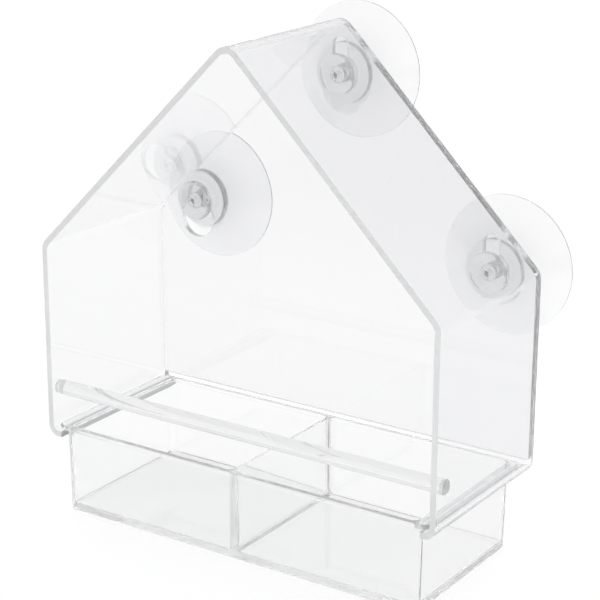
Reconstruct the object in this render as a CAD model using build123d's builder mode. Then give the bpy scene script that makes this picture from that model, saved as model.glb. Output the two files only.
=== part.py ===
from build123d import *

import os
from math import atan2, cos, tan

# A clear bird feeder that hangs on a window pane by three suction cups: a house bent from one
# strip of acrylic sheet, a glued-in back panel with keyholes, a perch rod, and a seed tray that
# slides out to the front on two ledges.
#
# Frame, in millimetres: the origin lies on the pane, at the centre of the top suction cup.
# +Y points into the pane, +Z is up, and +X is to the right of someone facing the open front.
# A "setback" is a distance in front of the pane, along -Y.

# The house, bent from one strip of sheet
house_width = 150.0
house_depth = 63.0
house_sheet = 2.0
eave_height = 67.3
apex_height = 142.1
roof_bend_inner = 3.5
ledge_bend_inner = 2.0
ledge_reach = 5.2

# The back panel, let in between the walls and flush with their rear edges
panel_sheet = 2.0
panel_glue_line = 0.05
panel_floor_gap = 2.6
panel_top_corner = 4.2
panel_foot_corner = 1.0
key_hole_diameter = 13.0
key_slot_width = 5.6
key_slot_rise = 9.5
side_key_inset = 17.75
side_key_roof_gap = 5.75
top_key_roof_gap = 6.0

# The perch, a round rod glued into both walls
perch_diameter = 5.0
perch_setin = 5.2
perch_rise = 16.0
perch_proud = 0.4
perch_end_round = 0.3
perch_glue_line = 0.05

# The seed tray, one thin moulding with a divider
tray_depth_down = 30.4
tray_front_inset = 0.5
tray_panel_gap = 1.2
tray_side_gap = 0.8
tray_seat_gap = 0.05
tray_wall = 1.6
tray_floor = 2.2
tray_divider = 1.2
tray_draft = 0.9
tray_corner = 3.0
tray_foot_round = 0.8
tray_cavity_corner = 2.2
tray_cavity_round = 1.0
flange_thickness = 2.0
flange_proud = 0.3
flange_wall_gap = 0.8
flange_corner = 3.3
flange_foot_round = 1.4
flange_top_round = 0.3

# The suction cups, soft mouldings with a disc, a hub, a neck and a mushroom head
cup_diameter = 46.0
cup_standoff = 11.8
cup_rim_thickness = 0.7
cup_rim_land = 0.8
cup_hollow_depth = 6.0
cup_disc_crown = 0.25
hub_diameter = 20.0
hub_height = 3.0
hub_round = 0.8
cup_panel_gap = 0.25
neck_diameter = 5.0
head_diameter = 13.6
head_thickness = 3.0
head_edge = 1.1
head_edge_round = 0.4
dimple_diameter = 2.4
dimple_depth = 5.6
left_cup_lift = 6.8

# Places across the house
half_width = house_width / 2
wall_inner_x = half_width - house_sheet
ledge_end_x = half_width - ledge_reach
roof_angle = atan2(apex_height - eave_height, half_width)
front_setback = cup_standoff + house_depth
panel_front_setback = cup_standoff + panel_sheet

# Heights, from the pane's origin on the top keyhole's axis. The slot above that keyhole stops
# short of the panel's roof edges, which lie a glue line inside the bent sheet
panel_apex_z = key_slot_rise + top_key_roof_gap / cos(roof_angle)
apex_z = panel_apex_z + (house_sheet + panel_glue_line) / cos(roof_angle)
ledge_bottom = apex_z - apex_height
ledge_top = ledge_bottom + house_sheet
eave_z = ledge_bottom + eave_height
perch_z = ledge_bottom + perch_rise
perch_y = perch_setin - front_setback

# The panel's other corners, and the keyholes at the sides, whose slots stop short of the roof too
panel_half_width = wall_inner_x - panel_glue_line
panel_eave_z = panel_apex_z - panel_half_width * tan(roof_angle)
panel_foot_z = ledge_top + panel_floor_gap
side_key_x = half_width - side_key_inset
side_slot_end_z = panel_apex_z - side_key_x * tan(roof_angle) - side_key_roof_gap / cos(roof_angle)
side_key_z = side_slot_end_z - key_slot_rise

os.makedirs("parts", exist_ok=True)


# House shell: the strip's outer line, offset inwards by the sheet, so that every bend keeps the
# sheet's thickness
roof_bend_outer = roof_bend_inner + house_sheet
ledge_bend_outer = ledge_bend_inner + house_sheet

with BuildPart() as house_shell:
    with BuildSketch(Plane.XZ.offset(cup_standoff)):
        with BuildLine():
            FilletPolyline(
                (-ledge_end_x, ledge_bottom),
                (-half_width, ledge_bottom),
                (-half_width, eave_z),
                (0, apex_z),
                (half_width, eave_z),
                (half_width, ledge_bottom),
                (ledge_end_x, ledge_bottom),
                radius=[
                    ledge_bend_outer,
                    roof_bend_outer,
                    roof_bend_outer,
                    roof_bend_outer,
                    ledge_bend_outer,
                ],
            )
            offset(amount=house_sheet, side=Side.RIGHT)
        make_face()
    extrude(amount=house_depth)
    with BuildSketch(Plane.YZ):
        with Locations((perch_y, perch_z)):
            Circle(perch_diameter / 2 + perch_glue_line)
    extrude(amount=house_width, both=True, mode=Mode.SUBTRACT)

house_shell.part.label = "house_shell"
export_step(house_shell.part, "parts/house_shell.step")


# Back panel: a house-shaped plate whose top corners clear the inside of the bends, with a keyhole
# for each suction cup
keyholes = [(0, 0), (-side_key_x, side_key_z), (side_key_x, side_key_z)]

with BuildPart() as back_panel:
    with BuildSketch(Plane.XZ.offset(cup_standoff)):
        with BuildLine():
            FilletPolyline(
                (-panel_half_width, panel_foot_z),
                (-panel_half_width, panel_eave_z),
                (0, panel_apex_z),
                (panel_half_width, panel_eave_z),
                (panel_half_width, panel_foot_z),
                radius=[
                    panel_foot_corner,
                    panel_top_corner,
                    panel_top_corner,
                    panel_top_corner,
                    panel_foot_corner,
                ],
                close=True,
            )
        make_face()
        for key_x, key_z in keyholes:
            with Locations((key_x, key_z)):
                Circle(key_hole_diameter / 2, mode=Mode.SUBTRACT)
            with Locations((key_x, key_z + key_slot_rise / 2)):
                SlotCenterToCenter(
                    key_slot_rise, key_slot_width, rotation=90, mode=Mode.SUBTRACT
                )
    extrude(amount=panel_sheet)

back_panel.part.label = "back_panel"
export_step(back_panel.part, "parts/back_panel.step")


# Perch rod: through both walls, a little proud of each
perch_length = house_width + 2 * perch_proud

with BuildPart() as perch_rod:
    with BuildSketch(Plane.YZ.offset(-perch_length / 2)):
        with Locations((perch_y, perch_z)):
            Circle(perch_diameter / 2)
    extrude(amount=perch_length)
    fillet(perch_rod.edges(), radius=perch_end_round)

perch_rod.part.label = "perch_rod"
export_step(perch_rod.part, "parts/perch_rod.step")


# Seed tray: the flanges along its sides lie on the ledges, and the same flange runs round the
# front and back as a low band
flange_foot_z = ledge_top + tray_seat_gap
tray_top = flange_foot_z + flange_thickness
tray_bottom = tray_top - tray_depth_down
tray_front_y = tray_front_inset - front_setback
tray_rear_y = -panel_front_setback - tray_panel_gap
tray_mid_y = (tray_front_y + tray_rear_y) / 2
flange_length = tray_rear_y - tray_front_y
flange_width = 2 * (wall_inner_x - flange_wall_gap)
body_width = 2 * (ledge_end_x - tray_side_gap)
body_length = flange_length - 2 * flange_proud
cavity_length = body_length - 2 * tray_wall + 2 * flange_proud
cavity_width = body_width / 2 - tray_wall - tray_divider / 2
cavity_mid_x = (tray_divider + cavity_width) / 2
cavity_depth = tray_depth_down - tray_floor

with BuildPart() as seed_tray:
    with BuildSketch(Plane(origin=(0, tray_mid_y, flange_foot_z))):
        RectangleRounded(flange_width, flange_length, flange_corner)
    extrude(amount=flange_thickness)
    fillet(seed_tray.faces().sort_by(Axis.Z)[0].edges(), radius=flange_foot_round)
    fillet(seed_tray.faces().sort_by(Axis.Z)[-1].edges(), radius=flange_top_round)
    with BuildSketch(Plane(origin=(0, tray_mid_y, tray_top), z_dir=(0, 0, -1))):
        RectangleRounded(body_width, body_length, tray_corner)
    extrude(amount=tray_depth_down, taper=tray_draft)
    fillet(seed_tray.faces().sort_by(Axis.Z)[0].edges(), radius=tray_foot_round)
    with BuildSketch(Plane(origin=(0, tray_mid_y, tray_top), z_dir=(0, 0, -1))):
        with Locations((-cavity_mid_x, 0), (cavity_mid_x, 0)):
            RectangleRounded(cavity_width, cavity_length, tray_cavity_corner)
    extrude(amount=cavity_depth, taper=tray_draft, mode=Mode.SUBTRACT)
    cavity_floors = seed_tray.faces().filter_by(Plane.XY).sort_by(Axis.Z)[1:3]
    fillet(cavity_floors.edges(), radius=tray_cavity_round)

seed_tray.part.label = "seed_tray"
export_step(seed_tray.part, "parts/seed_tray.step")


# Suction cups: one profile turned about an axis square to the pane. Radii are along the sketch's
# first axis, and heights in front of the pane along its second
cup_radius = cup_diameter / 2
hub_radius = hub_diameter / 2
neck_radius = neck_diameter / 2
head_radius = head_diameter / 2
land_radius = cup_radius - cup_rim_land
hub_front = cup_standoff - cup_panel_gap
hub_foot = hub_front - hub_height
head_back = panel_front_setback + cup_panel_gap
head_front = head_back + head_thickness
dimple_floor = head_front - dimple_depth

cups = {
    "suction_cup_top": (0, 0),
    "suction_cup_left": (-side_key_x, side_key_z + left_cup_lift),
    "suction_cup_right": (side_key_x, side_key_z),
}

for cup_name, (cup_x, cup_z) in cups.items():
    cup_plane = Plane(origin=(cup_x, 0, cup_z), x_dir=(1, 0, 0), z_dir=(0, 0, -1))
    cup_axis = Axis((cup_x, 0, cup_z), (0, 1, 0))
    with BuildPart() as suction_cup:
        with BuildSketch(cup_plane):
            with BuildLine():
                TangentArc((0, cup_hollow_depth), (land_radius, 0), tangent=(1, 0))
                Polyline((land_radius, 0), (cup_radius, 0), (cup_radius, cup_rim_thickness))
                SagittaArc((cup_radius, cup_rim_thickness), (hub_radius, hub_foot), -cup_disc_crown)
                FilletPolyline(
                    (hub_radius, hub_foot),
                    (hub_radius, hub_front),
                    (neck_radius, hub_front),
                    (neck_radius, head_back),
                    (head_radius, head_back),
                    (head_radius, head_back + head_edge),
                    radius=[hub_round, 0, 0, head_edge_round],
                )
                EllipticalCenterArc(
                    (0, head_back + head_edge),
                    head_radius,
                    head_thickness - head_edge,
                    start_angle=0,
                    arc_size=90,
                )
                Line((0, head_front), (0, cup_hollow_depth))
            make_face()
        revolve(axis=cup_axis)
        with BuildSketch(cup_plane):
            with BuildLine():
                Polyline(
                    (0, dimple_floor),
                    (0, head_front),
                    (dimple_diameter / 2, head_front),
                    (dimple_diameter / 2, dimple_floor + dimple_diameter / 2),
                )
                RadiusArc(
                    (dimple_diameter / 2, dimple_floor + dimple_diameter / 2),
                    (0, dimple_floor),
                    dimple_diameter / 2,
                )
            make_face()
        revolve(axis=cup_axis, mode=Mode.SUBTRACT)
    suction_cup.part.label = cup_name
    export_step(suction_cup.part, f"parts/{cup_name}.step")
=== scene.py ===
# %% [markdown]
# # A clear window feeder
# This lesson dresses a small bird feeder that hangs on a window pane. Everything on it is clear:
# a house bent from acrylic sheet, a tray moulded in polystyrene, and three soft PVC cups. Clear
# things have no colour of their own to paint, so the work is in how light goes through them.

# %% Load the measured parts as a fixed frame
import math
import random

import bmesh
import bpy
from mathutils import Matrix, Quaternion, Vector


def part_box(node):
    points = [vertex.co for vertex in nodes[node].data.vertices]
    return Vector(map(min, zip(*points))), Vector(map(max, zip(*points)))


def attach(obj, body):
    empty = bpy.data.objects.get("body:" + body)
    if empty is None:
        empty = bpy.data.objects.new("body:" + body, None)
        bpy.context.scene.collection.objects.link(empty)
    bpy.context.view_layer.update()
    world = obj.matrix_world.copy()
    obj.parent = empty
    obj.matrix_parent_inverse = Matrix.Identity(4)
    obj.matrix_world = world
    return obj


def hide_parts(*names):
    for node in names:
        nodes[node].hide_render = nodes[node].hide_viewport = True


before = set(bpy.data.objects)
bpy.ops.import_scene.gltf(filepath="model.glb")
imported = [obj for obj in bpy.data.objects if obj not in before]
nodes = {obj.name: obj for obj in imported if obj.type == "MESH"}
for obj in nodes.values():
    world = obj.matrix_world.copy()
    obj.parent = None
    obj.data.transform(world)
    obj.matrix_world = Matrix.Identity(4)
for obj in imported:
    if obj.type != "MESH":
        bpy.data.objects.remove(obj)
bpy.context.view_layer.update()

print("measured parts:", ", ".join(sorted(nodes)))

# %% [markdown]
# ## Units
# Blender works in metres here, and the feeder is drawn up in millimetres, so every size below is
# written as a real length in millimetres times `MM`. Pattern scales need the opposite: a noise
# texture's scale counts features per metre, so `per_metre` turns a real spacing into a scale.

# %% Units and spacing
MM = 0.001


def per_metre(spacing_mm):
    """The texture scale that gives one feature in every so many millimetres."""
    return 1.0 / (spacing_mm * MM)


house_low, house_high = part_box("house_shell")
tray_low, tray_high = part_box("seed_tray")
print("house", [round(v / MM, 1) for v in house_high - house_low], "mm")
print("tray", [round(v / MM, 1) for v in tray_high - tray_low], "mm")

# %% [markdown]
# ## Colour
# Clear plastics are nearly white, and what little tint they have shows only where light travels a
# long way inside them. The tints are chosen as the sRGB hex values that a picture would show, and
# one function turns them into the linear values that a renderer adds and multiplies.


# %% Hex to linear colour
def linear(hex_colour, alpha=1.0):
    """A linear RGBA colour from an sRGB hex value such as #f4f8f7."""
    channels = []
    for place in (1, 3, 5):
        value = int(hex_colour[place:place + 2], 16) / 255
        channels.append(value / 12.92 if value <= 0.04045 else ((value + 0.055) / 1.055) ** 2.4)
    return (*channels, alpha)


HAZE_WHITE = linear("#fdfdfd")
print("the haze's white in linear light:", [round(v, 3) for v in HAZE_WHITE])

# %% [markdown]
# ## Nodes
# A material is a graph of nodes. Written out by hand it takes three lines for each node, so one
# helper adds a node, sets its fields and sockets, and links whatever is given as another node or
# one of its outputs. Sockets that share a label, as on the mix and maths nodes, go by number.


# %% One helper for every node
def add_node(tree, kind, fields=None, **sockets):
    """Adds a node. Fields are its own settings. A node given to a socket links its first output."""
    node = tree.nodes.new(kind)
    for field, value in (fields or {}).items():
        setattr(node, field, value)
    for label, value in sockets.items():
        socket = node.inputs[int(label[1:]) if label[1:].isdigit() else label.replace("_", " ")]
        source = value.outputs[0] if isinstance(value, bpy.types.Node) else value
        if isinstance(source, bpy.types.NodeSocket):
            tree.links.new(source, socket)
        else:
            socket.default_value = source
    return node


def new_material(name):
    """An empty node material, and its node tree."""
    material = bpy.data.materials.new(name)
    material.use_nodes = True
    material.node_tree.nodes.clear()
    return material, material.node_tree


# %% [markdown]
# ## What makes clear plastic look clear
# Light bends as it enters and leaves, by the index of refraction, and a few per cent is thrown
# back at each face. Inside, a little is taken away for every centimetre. That is why the face of a
# sheet looks like nothing, while its cut edge, seen through sixty millimetres of plastic, is grey.
# A shader could fake the dark edge with paint, but then it would be wrong from every other side.
# So each plastic here is a solid that refracts, with absorption inside.
#
# No skin is perfect. Scuffs and mould marks scatter a few per cent of what passes, half of it
# onward and half of it back, so a little of a translucent and of a diffuse shader is mixed into
# every skin. It hardly shows on a flat face, but light that is trapped in a thin wall picks some
# up at each bounce, and a corner that would be black turns grey.
#
# Lamps are let through by a transparent shader on shadow rays alone, because a renderer that
# follows light backwards can't find them through glass, and would leave a hard black shadow.

# %% The body that all the clear plastics share
BACKWARD_SHARE = 0.5
PASSING_TINT = linear("#f7f8f8")


def clear_body(tree, surface, haze, absorbed, density, haze_colour=HAZE_WHITE):
    """Closes a material: a slightly hazy skin that lets lamps through, and what its body absorbs."""
    onward = add_node(tree, "ShaderNodeBsdfTranslucent", Color=haze_colour)
    backward = add_node(tree, "ShaderNodeBsdfDiffuse", Color=haze_colour)
    scatter = add_node(tree, "ShaderNodeMixShader", _0=BACKWARD_SHARE, _1=onward, _2=backward)
    skin = add_node(tree, "ShaderNodeMixShader", _0=haze, _1=surface, _2=scatter)
    ray = add_node(tree, "ShaderNodeLightPath")
    passing = add_node(tree, "ShaderNodeBsdfTransparent", Color=PASSING_TINT)
    mixed = add_node(
        tree,
        "ShaderNodeMixShader",
        _0=ray.outputs["Is Shadow Ray"],
        _1=skin,
        _2=passing,
    )
    body = add_node(tree, "ShaderNodeVolumeAbsorption", Color=linear(absorbed), Density=density)
    add_node(tree, "ShaderNodeOutputMaterial", Surface=mixed, Volume=body)


print("of what a skin scatters, this share goes back:", BACKWARD_SHARE)

# %% [markdown]
# ## Acrylic sheet
# The house is cast acrylic, bent along five hot lines, and the back panel is cut from the same
# sheet by a laser. The faces keep the casting glass's polish, with a slow waviness of a few
# centimetres. The cut edges are another finish on the same solid: a laser leaves fine ribs, about
# a quarter of a millimetre apart, and a flame or a wipe polishes them halfway. They scatter most
# of what reaches them, so they glow with the light that the sheet carries. The edges are told
# from the faces by which way they look, so the finish needs no separate piece.

# %% Polished faces and ribbed cut edges
ACRYLIC_IOR = 1.49
WAVE_SPACING_MM = 24
WAVE_DEPTH = 0.03 * MM
SMEAR_SPACING_MM = 11
# Real ribs are too fine to show in the picture, so they are drawn about three times as coarse.
RIB_SPACING_MM = 0.8
RIB_DEPTH = 0.008 * MM


def sheet_skin(tree, place, cut_edge, face_tint):
    """Polished, slowly waving faces with faint smears, and ribbed edges."""
    wave = add_node(
        tree,
        "ShaderNodeTexNoise",
        Vector=place.outputs["Object"],
        Scale=per_metre(WAVE_SPACING_MM),
        Detail=1.0,
    )
    smears = add_node(
        tree,
        "ShaderNodeTexNoise",
        Vector=place.outputs["Object"],
        Scale=per_metre(SMEAR_SPACING_MM),
        Detail=4.0,
    )
    face_polish = add_node(
        tree,
        "ShaderNodeMapRange",
        Value=smears,
        From_Min=0.45,
        From_Max=0.75,
        To_Min=0.0,
        To_Max=0.03,
    )
    ribs = add_node(
        tree,
        "ShaderNodeTexNoise",
        Vector=place.outputs["Object"],
        Scale=per_metre(RIB_SPACING_MM),
        Detail=2.0,
    )
    edge_polish = add_node(
        tree,
        "ShaderNodeMapRange",
        Value=ribs,
        From_Min=0.3,
        From_Max=0.7,
        To_Min=0.06,
        To_Max=0.16,
    )
    roughness = add_node(
        tree,
        "ShaderNodeMix",
        {"data_type": "FLOAT"},
        _0=cut_edge,
        _2=face_polish,
        _3=edge_polish,
    )
    sheet_relief = add_node(
        tree,
        "ShaderNodeBump",
        Strength=0.6,
        Distance=WAVE_DEPTH,
        Height=wave,
    )
    edge_relief = add_node(
        tree,
        "ShaderNodeBump",
        Strength=cut_edge,
        Distance=RIB_DEPTH,
        Height=ribs,
        Normal=sheet_relief,
    )
    return add_node(
        tree,
        "ShaderNodeBsdfPrincipled",
        Base_Color=linear(face_tint),
        Roughness=roughness,
        IOR=ACRYLIC_IOR,
        Transmission_Weight=1.0,
        Normal=edge_relief,
    )


print("waves every", WAVE_SPACING_MM, "mm, and ribs every", RIB_SPACING_MM, "mm")

# %% [markdown]
# ## The bent strip's other edges
# Not all of the strip's edges end up alike. At the house's rear, the solvent that joins the panel
# runs over them and clears most of their frost, so they show as one dark line from outside, and
# hardly at all from inside. The strip's two short ends lie under the tray's rim, where nobody
# sees them in use, so they are left matt as the saw cut them. Their scatter is coloured grey, which
# is painted shade for the dark band seen looking into them through the tray's wall. Each could be a
# group of faces with its own material, but a measured mesh isn't changed here, so they are told
# apart by where they lie.

# %% Cleared rear edges, and sawn ends with painted shade
REAR_EDGE = -12.3 * MM
CLEARED_SHARE = 0.75
SAWN_END = 69.8 * MM
SAWN_SLACK = 0.3 * MM
# Both ledges lie just below this height.
LEDGE_HEIGHT = -118.5 * MM
SAWN_LOOKS_ALONG_X = 0.8
SAWN_FROST = 0.85
# The sawn ends' grey is painted shade; their frost is the saw's own matt finish.
SAWN_SHADE_GREY = linear("#b4b6b8")


def sawn_ends(tree, at, facing):
    """One on the strip's two sawn ends under the tray's rim, and nought elsewhere."""
    out = add_node(tree, "ShaderNodeMath", {"operation": "ABSOLUTE"}, _0=at.outputs["X"])
    reached = add_node(
        tree, "ShaderNodeMath", {"operation": "LESS_THAN"}, _0=out, _1=SAWN_END + SAWN_SLACK
    )
    low = add_node(
        tree, "ShaderNodeMath", {"operation": "LESS_THAN"}, _0=at.outputs["Z"], _1=LEDGE_HEIGHT
    )
    along_x = add_node(tree, "ShaderNodeMath", {"operation": "ABSOLUTE"}, _0=facing.outputs["X"])
    upright = add_node(
        tree, "ShaderNodeMath", {"operation": "GREATER_THAN"}, _0=along_x, _1=SAWN_LOOKS_ALONG_X
    )
    there = add_node(tree, "ShaderNodeMath", {"operation": "MINIMUM"}, _0=reached, _1=low)
    return add_node(tree, "ShaderNodeMath", {"operation": "MINIMUM"}, _0=upright, _1=there)


def strip_edges(tree, place, facing, frost):
    """The strip's frost, cleared at the rear and dull at the sawn ends, and the frost's colour, grey
    with painted shade at the sawn ends.
    """
    at = add_node(tree, "ShaderNodeSeparateXYZ", Vector=place.outputs["Object"])
    rear = add_node(
        tree, "ShaderNodeMath", {"operation": "GREATER_THAN"}, _0=at.outputs["Y"], _1=REAR_EDGE
    )
    kept = add_node(
        tree, "ShaderNodeMath", {"operation": "MULTIPLY_ADD"}, _0=rear, _1=-CLEARED_SHARE, _2=1.0
    )
    cleared = add_node(tree, "ShaderNodeMath", {"operation": "MULTIPLY"}, _0=frost, _1=kept)
    sawn = sawn_ends(tree, at, facing)
    rough = add_node(tree, "ShaderNodeMath", {"operation": "MULTIPLY"}, _0=sawn, _1=SAWN_FROST)
    dull = add_node(tree, "ShaderNodeMath", {"operation": "MAXIMUM"}, _0=cleared, _1=rough)
    # Painted shade: the sawn ends scatter grey instead of white.
    colour = add_node(
        tree, "ShaderNodeMix", {"data_type": "RGBA"}, _0=sawn, _6=HAZE_WHITE, _7=SAWN_SHADE_GREY
    )
    return dull, colour.outputs[2]


print("the strip's sawn ends lie", round(SAWN_END / MM, 1), "mm from the middle")

# %% [markdown]
# ## The welded joint
# The panel is joined to the bent sheet with a solvent that melts both together, and after that no
# surface is left to see. The measured solids keep a hair's breadth between them, and its two
# faces would mirror and draw a dark line down each corner. Merging the meshes would take away a
# real piece, so the skin is turned off there instead: the place follows from the distance across
# the house for the walls, and from the height plus that distance times the roof's rise for the
# slopes.

# %% Where the panel is welded to the house
WALL_INSIDE = 72.97 * MM
ROOF_INSIDE = 18.01 * MM
ROOF_RISE = 0.9973
PANEL_MIDDLE = -12.8 * MM
SHEET_HALF = 1.0 * MM
PANEL_SLACK = 0.02 * MM
WELD_REACH = 0.3 * MM
SIDEWAYS_LIMIT = 0.5


def weld_line(tree, place, along_y):
    """One where the panel's edges touch the inside of the bent sheet, and nought elsewhere."""
    at = add_node(tree, "ShaderNodeSeparateXYZ", Vector=place.outputs["Object"])
    height = at.outputs["Z"]
    out = add_node(tree, "ShaderNodeMath", {"operation": "ABSOLUTE"}, _0=at.outputs["X"])
    rise = add_node(
        tree, "ShaderNodeMath", {"operation": "MULTIPLY_ADD"}, _0=out, _1=ROOF_RISE, _2=height
    )
    at_wall = add_node(
        tree, "ShaderNodeMath", {"operation": "COMPARE"}, _0=out, _1=WALL_INSIDE, _2=WELD_REACH
    )
    at_roof = add_node(
        tree, "ShaderNodeMath", {"operation": "COMPARE"}, _0=rise, _1=ROOF_INSIDE, _2=WELD_REACH
    )
    touching = add_node(tree, "ShaderNodeMath", {"operation": "MAXIMUM"}, _0=at_wall, _1=at_roof)
    inside_wall = add_node(
        tree, "ShaderNodeMath", {"operation": "LESS_THAN"}, _0=out, _1=WALL_INSIDE + SHEET_HALF
    )
    inside_roof = add_node(
        tree, "ShaderNodeMath", {"operation": "LESS_THAN"}, _0=rise, _1=ROOF_INSIDE + SHEET_HALF
    )
    within = add_node(
        tree, "ShaderNodeMath", {"operation": "MINIMUM"}, _0=inside_wall, _1=inside_roof
    )
    beside_panel = add_node(
        tree,
        "ShaderNodeMath",
        {"operation": "COMPARE"},
        _0=at.outputs["Y"],
        _1=PANEL_MIDDLE,
        _2=SHEET_HALF + PANEL_SLACK,
    )
    sideways = add_node(
        tree, "ShaderNodeMath", {"operation": "LESS_THAN"}, _0=along_y, _1=SIDEWAYS_LIMIT
    )
    weld = touching
    for condition in (within, beside_panel, sideways):
        weld = add_node(tree, "ShaderNodeMath", {"operation": "MINIMUM"}, _0=weld, _1=condition)
    return weld


print("the weld lies", round(WALL_INSIDE / MM, 2), "mm from the middle on each wall")

# %% [markdown]
# ## Two pieces of the same sheet
# The bent strip and the cut panel share the skin and the weld. They differ in which way their cut
# edges look, along the house's depth on the strip and away from it on the panel, in how frosted
# those edges are, and a little in tint. One function makes both, so a change to the sheet reaches
# both pieces.

# %% Cast acrylic for the bent strip and the cut panel
# How far along Y a surface looks where the cut edge's finish starts, and where it is full.
STRIP_EDGE_LIMITS = (0.6, 0.8)
PANEL_EDGE_LIMITS = (0.4, 0.2)
SHEET_HAZE = 0.02


def cast_acrylic(name, bent, face_tint, edge_frost):
    """Clear cast acrylic. The cut edges look along Y on the bent strip, and away from it on a plate."""
    material, tree = new_material(name)
    place = add_node(tree, "ShaderNodeTexCoord")
    facing = add_node(tree, "ShaderNodeSeparateXYZ", Vector=place.outputs["Normal"])
    along_y = add_node(tree, "ShaderNodeMath", {"operation": "ABSOLUTE"}, _0=facing.outputs["Y"])
    starts, full = STRIP_EDGE_LIMITS if bent else PANEL_EDGE_LIMITS
    cut_edge = add_node(tree, "ShaderNodeMapRange", Value=along_y, From_Min=starts, From_Max=full)
    surface = sheet_skin(tree, place, cut_edge, face_tint)
    frost = add_node(
        tree,
        "ShaderNodeMapRange",
        Value=cut_edge,
        To_Min=SHEET_HAZE,
        To_Max=edge_frost,
    )
    haze_colour = HAZE_WHITE
    if bent:
        frost, haze_colour = strip_edges(tree, place, facing, frost)
    weld = weld_line(tree, place, along_y)
    through = add_node(tree, "ShaderNodeBsdfTransparent")
    joined = add_node(tree, "ShaderNodeMixShader", _0=weld, _1=surface, _2=through)
    open_skin = add_node(tree, "ShaderNodeMath", {"operation": "SUBTRACT"}, _0=1.0, _1=weld)
    haze = add_node(tree, "ShaderNodeMath", {"operation": "MULTIPLY"}, _0=frost, _1=open_skin)
    clear_body(tree, joined, haze, absorbed="#b4b6b7", density=2.0, haze_colour=haze_colour)
    return material


bent_sheet = cast_acrylic(
    "cast acrylic, line bent", bent=True, face_tint="#f5f5f6", edge_frost=0.9
)
cut_plate = cast_acrylic(
    "cast acrylic, laser cut", bent=False, face_tint="#f4f4f5", edge_frost=0.4
)
print("made", bent_sheet.name, "and", cut_plate.name)

# %% [markdown]
# ## Acrylic rod
# The perch is extruded, not cast. The die draws faint lines along the bar, under a tenth of a
# millimetre apart; they are drawn here at a third of a millimetre so that they show. A stretched
# noise gives them: very fine round the bar, very long along it.

# %% Extruded acrylic bar with die lines
DIE_LINE_LENGTH_MM = 60
DIE_LINE_SPACING_MM = 0.33
DIE_LINE_DEPTH = 0.004 * MM


def extruded_acrylic(name):
    """Clear extruded acrylic, with die lines along X."""
    material, tree = new_material(name)
    place = add_node(tree, "ShaderNodeTexCoord")
    stretched = add_node(
        tree,
        "ShaderNodeMapping",
        Vector=place.outputs["Object"],
        Scale=(
            per_metre(DIE_LINE_LENGTH_MM),
            per_metre(DIE_LINE_SPACING_MM),
            per_metre(DIE_LINE_SPACING_MM),
        ),
    )
    lines = add_node(tree, "ShaderNodeTexNoise", Vector=stretched, Scale=1.0, Detail=1.0)
    relief = add_node(tree, "ShaderNodeBump", Strength=0.3, Distance=DIE_LINE_DEPTH, Height=lines)
    surface = add_node(
        tree,
        "ShaderNodeBsdfPrincipled",
        Base_Color=linear("#f6f6f6"),
        Roughness=0.1,
        IOR=ACRYLIC_IOR,
        Transmission_Weight=1.0,
        Normal=relief,
    )
    clear_body(tree, surface, haze=0.08, absorbed="#b2b3b3", density=3.0)
    return material


drawn_bar = extruded_acrylic("extruded acrylic bar")
print("made", drawn_bar.name)

# %% [markdown]
# ## Moulded polystyrene
# The tray is one shot of crystal polystyrene. It bends light more than acrylic does, which is why
# the tray's corners look darker than the house's bends. The melt leaves slow flow marks, and the
# mould's polish is a little softer than cast sheet's.

# %% Crystal polystyrene from a polished mould
POLYSTYRENE_IOR = 1.59
TRAY_FLOW_SPACING_MM = 16
TRAY_FLOW_DEPTH = 0.03 * MM


def moulded_polystyrene(name):
    """Clear crystal polystyrene with slow flow marks."""
    material, tree = new_material(name)
    place = add_node(tree, "ShaderNodeTexCoord")
    flow = add_node(
        tree,
        "ShaderNodeTexNoise",
        Vector=place.outputs["Object"],
        Scale=per_metre(TRAY_FLOW_SPACING_MM),
        Detail=2.0,
        Distortion=0.6,
    )
    polish = add_node(
        tree,
        "ShaderNodeMapRange",
        Value=flow,
        From_Min=0.4,
        From_Max=0.8,
        To_Min=0.0,
        To_Max=0.04,
    )
    relief = add_node(tree, "ShaderNodeBump", Strength=0.2, Distance=TRAY_FLOW_DEPTH, Height=flow)
    surface = add_node(
        tree,
        "ShaderNodeBsdfPrincipled",
        Base_Color=linear("#f7f7f7"),
        Roughness=polish,
        IOR=POLYSTYRENE_IOR,
        Transmission_Weight=1.0,
        Normal=relief,
    )
    clear_body(tree, surface, haze=0.09, absorbed="#adafb0", density=4.0)
    return material


crystal_tray = moulded_polystyrene("crystal polystyrene, moulded")
print("made", crystal_tray.name)

# %% [markdown]
# ## Painted shade in the pin holes
# Each cup's head has a deep pin hole from the mould, and it looks like a dark point. That shade is
# painted: the wall inside the hole is coloured grey and loses its haze. It could be a ring of its
# own colour drawn on the head; as a grey wall inside the hole it also looks right from the side.
# The place is given as shares of the cup's own box, so that one material serves all three cups:
# across and up from its middle, and back from the front of the head.

# %% Where the painted shade lies in a cup
# The pin hole's painted shade, placed as shares of the cup's box.
BOX_MIDDLE_SHARE = 0.5
HOLE_SHARE = 0.03
SHADE_MIDDLE_SHARE = 0.23
SHADE_REACH_SHARE = 0.16


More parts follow.
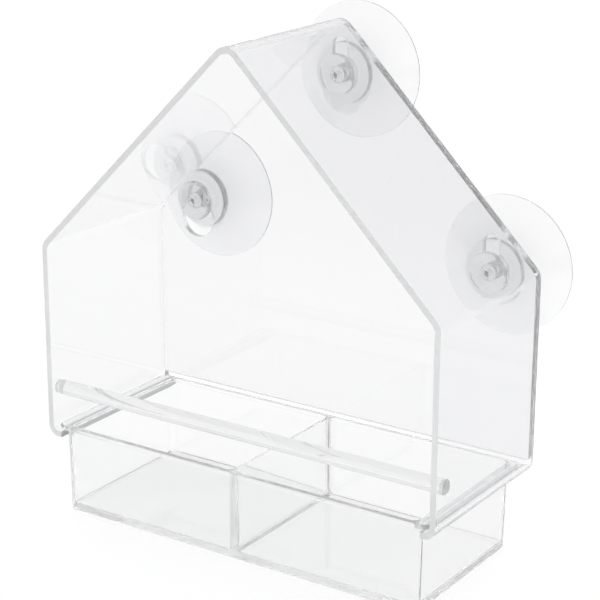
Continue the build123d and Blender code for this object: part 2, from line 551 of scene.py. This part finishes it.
def pin_hole_painted_shade(tree, place):
    """One inside a cup's pin hole, where its shade is painted, and nought elsewhere."""
    at = add_node(tree, "ShaderNodeSeparateXYZ", Vector=place.outputs["Generated"])
    across = add_node(
        tree, "ShaderNodeMath", {"operation": "SUBTRACT"}, _0=at.outputs["X"], _1=BOX_MIDDLE_SHARE
    )
    up = add_node(
        tree, "ShaderNodeMath", {"operation": "SUBTRACT"}, _0=at.outputs["Z"], _1=BOX_MIDDLE_SHARE
    )
    across_squared = add_node(
        tree, "ShaderNodeMath", {"operation": "MULTIPLY"}, _0=across, _1=across
    )
    squared = add_node(
        tree, "ShaderNodeMath", {"operation": "MULTIPLY_ADD"}, _0=up, _1=up, _2=across_squared
    )
    from_axis = add_node(tree, "ShaderNodeMath", {"operation": "SQRT"}, _0=squared)
    in_hole = add_node(
        tree, "ShaderNodeMath", {"operation": "LESS_THAN"}, _0=from_axis, _1=HOLE_SHARE
    )
    below_lip = add_node(
        tree,
        "ShaderNodeMath",
        {"operation": "COMPARE"},
        _0=at.outputs["Y"],
        _1=SHADE_MIDDLE_SHARE,
        _2=SHADE_REACH_SHARE,
    )
    return add_node(tree, "ShaderNodeMath", {"operation": "MULTIPLY"}, _0=in_hole, _1=below_lip)


# How far back from the head's front the pin hole's painted shade reaches.
print("dust lies to", round(SHADE_MIDDLE_SHARE + SHADE_REACH_SHARE, 2), "of the way to the pane")

# %% [markdown]
# ## Soft PVC
# Suction cups are plasticised PVC: clear, but not as clear as the hard plastics. What it takes
# from the light shows little in the thin disc and much in the thick head, so the skin is nearly
# white and the body's absorption is strong. The mould is polished, and leaves slow flow marks.

# %% Plasticised PVC
VINYL_TINT = linear("#fbfbfc")
# The grey on the pin hole's wall is painted shade, not a colour of the vinyl.
PIN_HOLE_SHADE_GREY = linear("#8a8c8e")
VINYL_HAZE = 0.06
VINYL_IOR = 1.53
VINYL_FLOW_SPACING_MM = 5
VINYL_FLOW_DEPTH = 0.03 * MM


def soft_vinyl(name):
    """Clear plasticised PVC, with painted shade in its pin hole."""
    material, tree = new_material(name)
    place = add_node(tree, "ShaderNodeTexCoord")
    skin = add_node(
        tree,
        "ShaderNodeTexNoise",
        Vector=place.outputs["Object"],
        Scale=per_metre(VINYL_FLOW_SPACING_MM),
        Detail=3.0,
    )
    polish = add_node(
        tree,
        "ShaderNodeMapRange",
        Value=skin,
        From_Min=0.3,
        From_Max=0.8,
        To_Min=0.03,
        To_Max=0.10,
    )
    relief = add_node(tree, "ShaderNodeBump", Strength=0.5, Distance=VINYL_FLOW_DEPTH, Height=skin)
    # Painted shade: the pin hole's wall turns grey and loses its haze.
    painted_shade = pin_hole_painted_shade(tree, place)
    tint = add_node(
        tree, "ShaderNodeMix", {"data_type": "RGBA"}, _0=painted_shade, _6=VINYL_TINT, _7=PIN_HOLE_SHADE_GREY
    )
    unshaded = add_node(tree, "ShaderNodeMath", {"operation": "SUBTRACT"}, _0=1.0, _1=painted_shade)
    haze = add_node(tree, "ShaderNodeMath", {"operation": "MULTIPLY"}, _0=unshaded, _1=VINYL_HAZE)
    surface = add_node(
        tree,
        "ShaderNodeBsdfPrincipled",
        Base_Color=tint.outputs[2],
        Roughness=polish,
        IOR=VINYL_IOR,
        Transmission_Weight=1.0,
        Normal=relief,
    )
    clear_body(tree, surface, haze, absorbed="#b8b9bb", density=62.0)
    return material


cup_vinyl = soft_vinyl("plasticised PVC, moulded")
print("made", cup_vinyl.name)

# %% [markdown]
# ## Finish the rigid parts
# The measured solids of the house, panel, bar and tray already have the right shape, down to
# their bends and fillets, so they stay as they are and only take their material.

# %% Give each rigid part its plastic
finishes = {
    "house_shell": bent_sheet,
    "back_panel": cut_plate,
    "perch_rod": drawn_bar,
    "seed_tray": crystal_tray,
}
for node_name, material in finishes.items():
    for material_slot in nodes[node_name].material_slots:
        material_slot.material = material
    print(node_name, "is", material.name)

# %% [markdown]
# ## The suction cups
# Each cup is one soft moulding: a thin disc, hollow at the back, a hub that the panel rests on, a
# neck that slides in the keyhole, and a mushroom head with a deep pin hole. A plain turned shape
# looks too exact, so the profile's outer corners are rounded, and the thin disc is let warp a
# little, as an unpressed cup does. It could be modelled by hand in one eighth and mirrored;
# turning a profile is shorter and keeps the wall's thickness in plain sight.

# %% The cup's sizes, as radii and distances in front of the pane
HOLLOW_DEPTH = 6.0 * MM
RIM_LAND = 0.8 * MM
RIM_THICKNESS = 0.7 * MM
RIM_ROUND = 0.15 * MM
DISC_KNEE_RADIUS = 16.5 * MM
DISC_KNEE_HEIGHT = 4.4 * MM
DISC_KNEE_ROUND = 18 * MM
HUB_RADIUS = 10.0 * MM
HUB_FOOT = 8.55 * MM
HUB_FOOT_ROUND = 3.0 * MM
HUB_FRONT = 11.55 * MM
HUB_FRONT_ROUND = 0.8 * MM
NECK_RADIUS = 2.5 * MM
NECK_ROUND = 0.2 * MM
HEAD_RADIUS = 6.8 * MM
HEAD_BACK = 14.05 * MM
HEAD_BACK_ROUND = 0.4 * MM
HEAD_EDGE = 1.1 * MM
PIN_HOLE_RADIUS = 1.2 * MM
PIN_HOLE_TAPER_SHARE = 0.92
PIN_HOLE_DEPTH = 5.6 * MM
PIN_HOLE_LIP = 0.1 * MM
DISC_WARP = 0.12 * MM
print("a cup's neck is", round((HEAD_BACK - HUB_FRONT) / MM, 2), "mm long")

# %% [markdown]
# ## Rounded corners
# A turned profile is a row of points, and a sharp corner in it would catch the light as a hard
# line that soft PVC never has. A bevel on the finished mesh would round every corner alike. So
# the profile is given as corners, each with its own rounding, and an arc replaces each of them.

# %% Corners into arcs
CORNER_STEPS = 5


def rounded(corners):
    """Points along an outline whose corners are (radius, height, rounding)."""
    points = []
    for index, (x, y, rounding) in enumerate(corners):
        corner = Vector((x, y))
        if rounding == 0 or index in (0, len(corners) - 1):
            points.append(corner)
            continue
        back = (Vector(corners[index - 1][:2]) - corner).normalized()
        on = (Vector(corners[index + 1][:2]) - corner).normalized()
        half = back.angle(on) / 2
        reach = rounding / math.tan(half)
        centre = corner + (back + on).normalized() * rounding / math.sin(half)
        start = corner + back * reach - centre
        sweep = start.angle_signed(corner + on * reach - centre)
        for step in range(CORNER_STEPS + 1):
            turn = Matrix.Rotation(-sweep * step / CORNER_STEPS, 2)
            points.append(centre + turn @ start)
    return points


print("each rounded corner becomes", CORNER_STEPS + 1, "points")

# %% The cup's half section
HOLLOW_STEPS = 12
DOME_STEPS = 14
PIN_HOLE_STEPS = 8


def cup_hollow(land):
    """The hollow's line, a shallow bowl from its middle out to the land that seals on the glass."""
    bowl = (land ** 2 + HOLLOW_DEPTH ** 2) / (2 * HOLLOW_DEPTH)
    points = []
    for step in range(HOLLOW_STEPS + 1):
        radius = land * step / HOLLOW_STEPS
        points.append(Vector((radius, HOLLOW_DEPTH - bowl + math.sqrt(bowl ** 2 - radius ** 2))))
    return points


def cup_front(land, cup_radius):
    """The line from the land round the rim, over the disc, hub and neck, to the head's edge."""
    return rounded([
        (land, 0, 0),
        (cup_radius, 0, RIM_ROUND),
        (cup_radius, RIM_THICKNESS, RIM_ROUND),
        (DISC_KNEE_RADIUS, DISC_KNEE_HEIGHT, DISC_KNEE_ROUND),
        (HUB_RADIUS, HUB_FOOT, HUB_FOOT_ROUND),
        (HUB_RADIUS, HUB_FRONT, HUB_FRONT_ROUND),
        (NECK_RADIUS, HUB_FRONT, NECK_ROUND),
        (NECK_RADIUS, HEAD_BACK, NECK_ROUND),
        (HEAD_RADIUS, HEAD_BACK, HEAD_BACK_ROUND),
        (HEAD_RADIUS, HEAD_BACK + HEAD_EDGE, 0),
    ])


def cup_outline(cup_radius, cup_reach):
    """The cup's half section, from the middle of the hollow round to the foot of the pin hole."""
    land = cup_radius - RIM_LAND
    outline = cup_hollow(land) + cup_front(land, cup_radius)[1:]
    dome = cup_reach - HEAD_BACK - HEAD_EDGE
    lip_turn = math.asin(PIN_HOLE_RADIUS / HEAD_RADIUS)
    for step in range(1, DOME_STEPS + 1):
        turn = (math.pi / 2 - lip_turn) * step / DOME_STEPS
        height = HEAD_BACK + HEAD_EDGE + dome * math.sin(turn)
        outline.append(Vector((HEAD_RADIUS * math.cos(turn), height)))
    lip = outline[-1].y
    foot = cup_reach - PIN_HOLE_DEPTH
    for step in range(PIN_HOLE_STEPS + 1):
        turn = math.pi / 2 * step / PIN_HOLE_STEPS
        radius = PIN_HOLE_RADIUS * PIN_HOLE_TAPER_SHARE * math.cos(turn)
        height = min(lip - PIN_HOLE_LIP, foot + PIN_HOLE_RADIUS * (1 - math.sin(turn)))
        outline.append(Vector((radius, height)))
    return outline


print("steps in hollow, dome and pin hole:", HOLLOW_STEPS, DOME_STEPS, PIN_HOLE_STEPS)

# %% [markdown]
# ## Turn the outline
# The cup is made as a potter would, by turning its half section about the axis. Each point of
# the outline becomes a ring, and neighbouring rings are joined by faces, so the result is one
# closed skin. The warp is added to the rings while they are laid. It lifts the disc by nothing
# at the hub and by about a tenth of a millimetre at the rim, with three slow waves round it.

# %% Turn the outline about the cup's axis
CUP_TURNS = 128
WARP_WAVES = (2, 3, 5)
ON_AXIS = 0.0001 * MM


def cup_ring(mesh, point, centre_x, centre_z, cup_radius, lean):
    """One ring of the cup, warped where it belongs to the disc. A point on the axis stays one."""
    if point.x < ON_AXIS:
        return [mesh.verts.new((centre_x, -point.y, centre_z))]
    outward = max(0.0, (point.x - HUB_RADIUS) / (cup_radius - HUB_RADIUS))
    ring = []
    for step in range(CUP_TURNS):
        angle = math.tau * step / CUP_TURNS
        waves = [math.sin(k * angle + phase) for k, phase in zip(WARP_WAVES, lean)]
        lift = DISC_WARP * outward ** 2 * (1 + sum(waves) / len(waves))
        ring.append(
            mesh.verts.new((
                centre_x + point.x * math.cos(angle),
                -point.y - lift,
                centre_z + point.x * math.sin(angle),
            ))
        )
    return ring


def turned_cup(name, centre_x, centre_z, cup_radius, cup_reach, seed):
    """A cup as one closed mesh, its axis square to the pane."""
    warp = random.Random(seed)
    lean = [warp.uniform(0, math.tau) for _ in WARP_WAVES]
    mesh = bmesh.new()
    rings = [
        cup_ring(mesh, point, centre_x, centre_z, cup_radius, lean)
        for point in cup_outline(cup_radius, cup_reach)
    ]
    for inner, outer in zip(rings, rings[1:]):
        for step in range(CUP_TURNS):
            after = (step + 1) % CUP_TURNS
            corners = [
                inner[step % len(inner)],
                outer[step % len(outer)],
                outer[after % len(outer)],
                inner[after % len(inner)],
            ]
            mesh.faces.new(list(dict.fromkeys(corners)))
    bmesh.ops.recalc_face_normals(mesh, faces=mesh.faces)
    for face in mesh.faces:
        face.smooth = True
    data = bpy.data.meshes.new(name)
    mesh.to_mesh(data)
    mesh.free()
    piece = bpy.data.objects.new(name, data)
    bpy.context.scene.collection.objects.link(piece)
    weighted = piece.modifiers.new("even shading", "WEIGHTED_NORMAL")
    weighted.keep_sharp = False
    return piece


print("each ring of a cup has", CUP_TURNS, "points")

# %% Stand a modelled cup for each measured one
for seed, side in enumerate(("top", "left", "right")):
    node_name = f"suction_cup_{side}"
    low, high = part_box(node_name)
    cup = turned_cup(
        f"soft_cup_{side}",
        (low.x + high.x) / 2,
        (low.z + high.z) / 2,
        (high.x - low.x) / 2,
        -low.y,
        seed,
    )
    cup.data.materials.append(cup_vinyl)
    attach(cup, f"cup_{side}")
    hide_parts(node_name)
    print(cup.name, "has", len(cup.data.polygons), "faces")

# %% [markdown]
# ## The table
# Clear things are photographed on a light table: a pale opal sheet that glows from below and
# behind, so that the thing is drawn by its own dark edges. The glow dies away in front of the
# thing, towards the camera. That matters as much as the glow does, because the flat faces mirror
# what lies in front of them, and would fade into the background if it were white there too.

# %% Pale opal floor, glowing around and behind the feeder
FLOOR_GAP = 0.05 * MM
FLOOR_HALF = 4.0
# Metres along Y, where the glow starts to grow and where it is full.
GLOW_ENDS = (-0.42, -0.15)
FRONT_GLOW = 0.30
TABLE_GLOW = 0.75

floor_data = bpy.data.meshes.new("pale_floor")
corners = [(-1, -1), (1, -1), (1, 1), (-1, 1)]
floor_corners = [(x * FLOOR_HALF, y * FLOOR_HALF, 0) for x, y in corners]
floor_data.from_pydata(floor_corners, [], [(0, 1, 2, 3)])
floor = bpy.data.objects.new("pale_floor", floor_data)
bpy.context.scene.collection.objects.link(floor)
floor.location.z = tray_low.z - FLOOR_GAP
opal, tree = new_material("opal acrylic light table")
place = add_node(tree, "ShaderNodeTexCoord")
reach = add_node(tree, "ShaderNodeSeparateXYZ", Vector=place.outputs["Object"])
glow = add_node(
    tree,
    "ShaderNodeMapRange",
    {"interpolation_type": "SMOOTHSTEP"},
    Value=reach.outputs["Y"],
    From_Min=GLOW_ENDS[0],
    From_Max=GLOW_ENDS[1],
    To_Min=FRONT_GLOW * TABLE_GLOW,
    To_Max=TABLE_GLOW,
)
opal_sheet = add_node(
    tree,
    "ShaderNodeBsdfPrincipled",
    Base_Color=linear("#969696"),
    Roughness=0.6,
    Emission_Color=linear("#ffffff"),
    Emission_Strength=glow,
)
add_node(tree, "ShaderNodeOutputMaterial", Surface=opal_sheet)
floor_data.materials.append(opal)
print("the floor lies", round(floor.location.z / MM, 2), "mm from the top cup's axis")

# %% [markdown]
# ## The room
# The room is what the plastic mirrors. It is palest low down all round and high up behind, where
# a view past the table's end would meet it, and a little darker overhead, which is what gives the
# roof slopes their grey. One soft box stands to the right, behind the pane, where it doesn't
# mirror in a cup's cone as the camera sees it.

# %% Room light that is pale low down and behind, and grey overhead
# A direction's Y says how far behind it points, and its Z how far up, both up to one.
BEHIND_ENDS = (0.15, 0.65)
PALE_UP_TO = (0.05, 0.55)
FADE = 0.2
PALE_ROOM = 0.95
GREY_ROOM = 0.75
ROOM_WHITE = linear("#fdfdfd")

world = bpy.data.worlds.new("studio room")
bpy.context.scene.world = world
world.use_nodes = True
tree = world.node_tree
tree.nodes.clear()
direction = add_node(tree, "ShaderNodeTexCoord")
height = add_node(tree, "ShaderNodeSeparateXYZ", Vector=direction.outputs["Generated"])
behind = add_node(
    tree,
    "ShaderNodeMapRange",
    {"interpolation_type": "SMOOTHSTEP"},
    Value=height.outputs["Y"],
    From_Min=BEHIND_ENDS[0],
    From_Max=BEHIND_ENDS[1],
    To_Min=PALE_UP_TO[0],
    To_Max=PALE_UP_TO[1],
)
above = add_node(tree, "ShaderNodeMath", {"operation": "ADD"}, _0=behind, _1=FADE)
shade = add_node(
    tree,
    "ShaderNodeMapRange",
    {"interpolation_type": "SMOOTHSTEP"},
    Value=height.outputs["Z"],
    From_Min=behind,
    From_Max=above,
    To_Min=PALE_ROOM,
    To_Max=GREY_ROOM,
)
sky = add_node(tree, "ShaderNodeBackground", Color=ROOM_WHITE, Strength=shade)
add_node(tree, "ShaderNodeOutputWorld", Surface=sky)
print("the room's light goes from", PALE_ROOM, "down to", GREY_ROOM)

# %% A soft box to the right, behind the feeder
BOX_PLACE = (0.9, 0.3, 0.5)
BOX_SIZE = 0.3
BOX_WATTS = 1.0

box_data = bpy.data.lights.new("side_soft_box", "AREA")
box_data.shape = "SQUARE"
box_data.size = BOX_SIZE
box_data.energy = BOX_WATTS
soft_box = bpy.data.objects.new("side_soft_box", box_data)
soft_box.location = BOX_PLACE
house_middle = (house_low + house_high) / 2
box_aim = house_middle - Vector(BOX_PLACE)
soft_box.rotation_euler = box_aim.to_track_quat("-Z", "Y").to_euler()
bpy.context.scene.collection.objects.link(soft_box)
print("the soft box stands", round(box_aim.length, 2), "m from the house")

# %% [markdown]
# ## The camera
# The feeder was photographed from its right, a little above, with a long lens from about sixty
# centimetres, and with the camera rolled by a quarter of a degree. The angles and the distance
# were worked out from the house's own edges and the cups' outlines.

# %% Camera at the photographed angle
AZIMUTH, ELEVATION, ROLL = math.radians(33.74), math.radians(18.11), math.radians(0.24)
DISTANCE = 590.5 * MM
AIM = Vector((6.71, -44.93, -66.4)) * MM
LENS = 111.1
SENSOR_WIDTH = 36.0
NEAREST = 10 * MM

camera_data = bpy.data.cameras.new("camera")
camera_data.lens = LENS
camera_data.sensor_width = SENSOR_WIDTH
camera_data.clip_start = NEAREST
camera = bpy.data.objects.new("camera", camera_data)
back = Vector((
    math.sin(AZIMUTH) * math.cos(ELEVATION),
    -math.cos(AZIMUTH) * math.cos(ELEVATION),
    math.sin(ELEVATION),
))
camera.location = AIM + back * DISTANCE
level = (-back).to_track_quat("-Z", "Y")
camera.rotation_euler = (level @ Quaternion((0, 0, 1), ROLL)).to_euler()
bpy.context.scene.collection.objects.link(camera)
bpy.context.scene.camera = camera
print("the camera stands", round(DISTANCE / MM, 1), "mm from its aim")

# %% [markdown]
# ## How far light is followed
# A ray that crosses the house, the tray and a cup meets a dozen skins or more, and one that is
# caught in a wall is turned back many times. Given up on the way, it comes back black. So the
# number of bounces is set well above a dozen.

# %% Bounces enough for stacked clear walls
scene = bpy.context.scene
scene.view_settings.view_transform = "Standard"
scene.cycles.max_bounces = 32
scene.cycles.transmission_bounces = 32
scene.cycles.glossy_bounces = 24
scene.cycles.transparent_max_bounces = 24
print("light is followed for", scene.cycles.max_bounces, "bounces")
